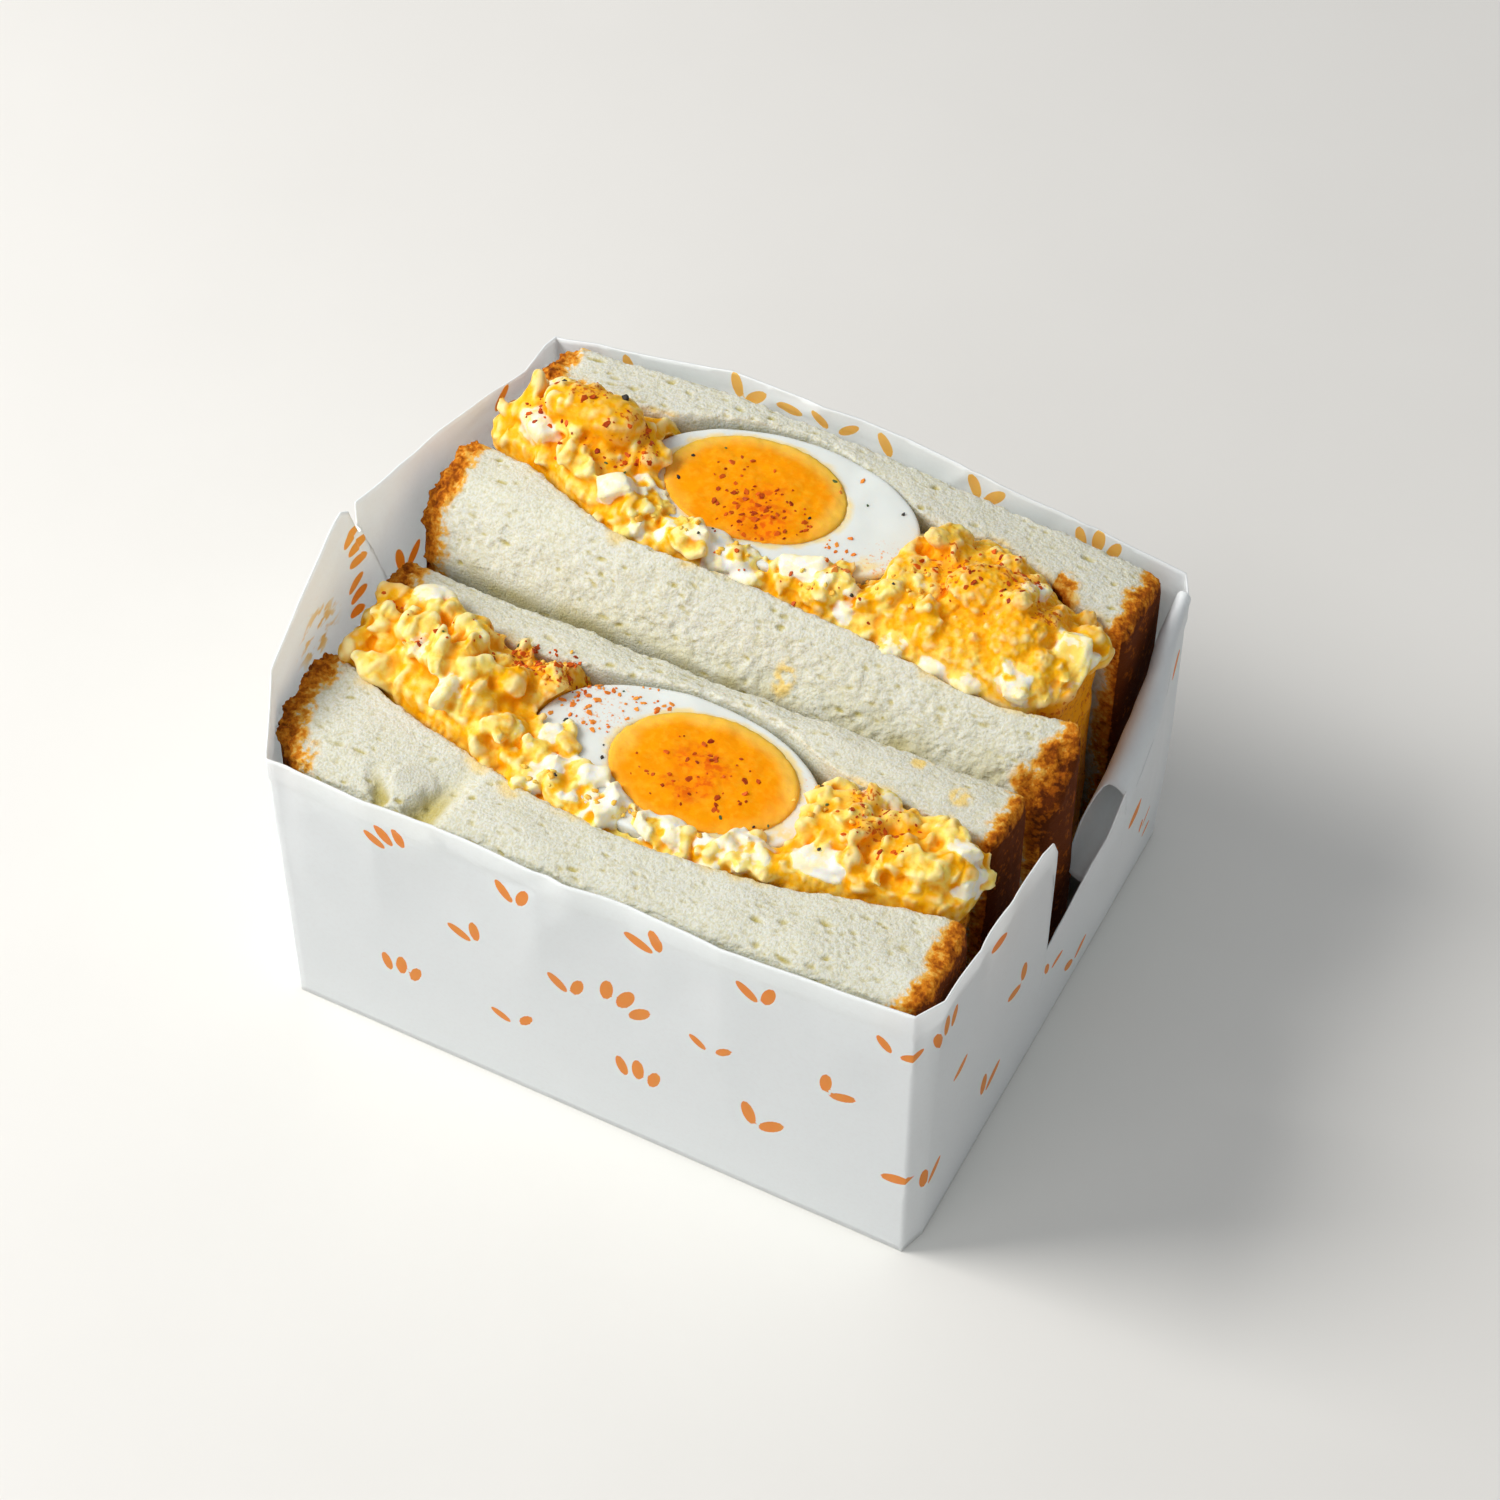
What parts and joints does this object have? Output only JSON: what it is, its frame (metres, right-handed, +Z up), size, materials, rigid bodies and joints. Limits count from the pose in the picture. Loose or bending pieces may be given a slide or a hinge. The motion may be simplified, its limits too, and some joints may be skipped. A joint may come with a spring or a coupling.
{
  "type": "egg salad sandwich",
  "caption": "Egg salad sandwich cut across the middle, both halves standing cut side up in a folded white paper wrapper with boiled egg in the filling.",
  "frame": {"origin": "middle of the wrapper's flat base, at the lowest point of the whole sandwich", "axes": "+X along the cut faces, the long way of the sandwich; +Y from the front half to the back half; +Z up"},
  "size_m": [0.1378, 0.1108, 0.0813],
  "materials": {
    "bread": "porous white crumb with golden to dark brown crust at the ends and below",
    "egg_salad": "moist creamy chopped egg with chilli flakes",
    "egg_white": "smooth, slightly translucent boiled egg white",
    "egg_yolk": "smooth set yolk, orange",
    "paper": "thin white greaseproof paper with orange printed shapes"
  },
  "bodies": {
    "root": {"bread_front_outer": "bread", "bread_front_inner": "bread", "egg_salad_front": "egg_salad", "egg_white_front": "egg_white", "egg_yolk_front": "egg_yolk", "bread_back_inner": "bread", "bread_back_outer": "bread", "egg_salad_back": "egg_salad", "egg_white_back": "egg_white", "egg_yolk_back": "egg_yolk", "paper_wrapper": "paper"}
  },
  "joints": []
}
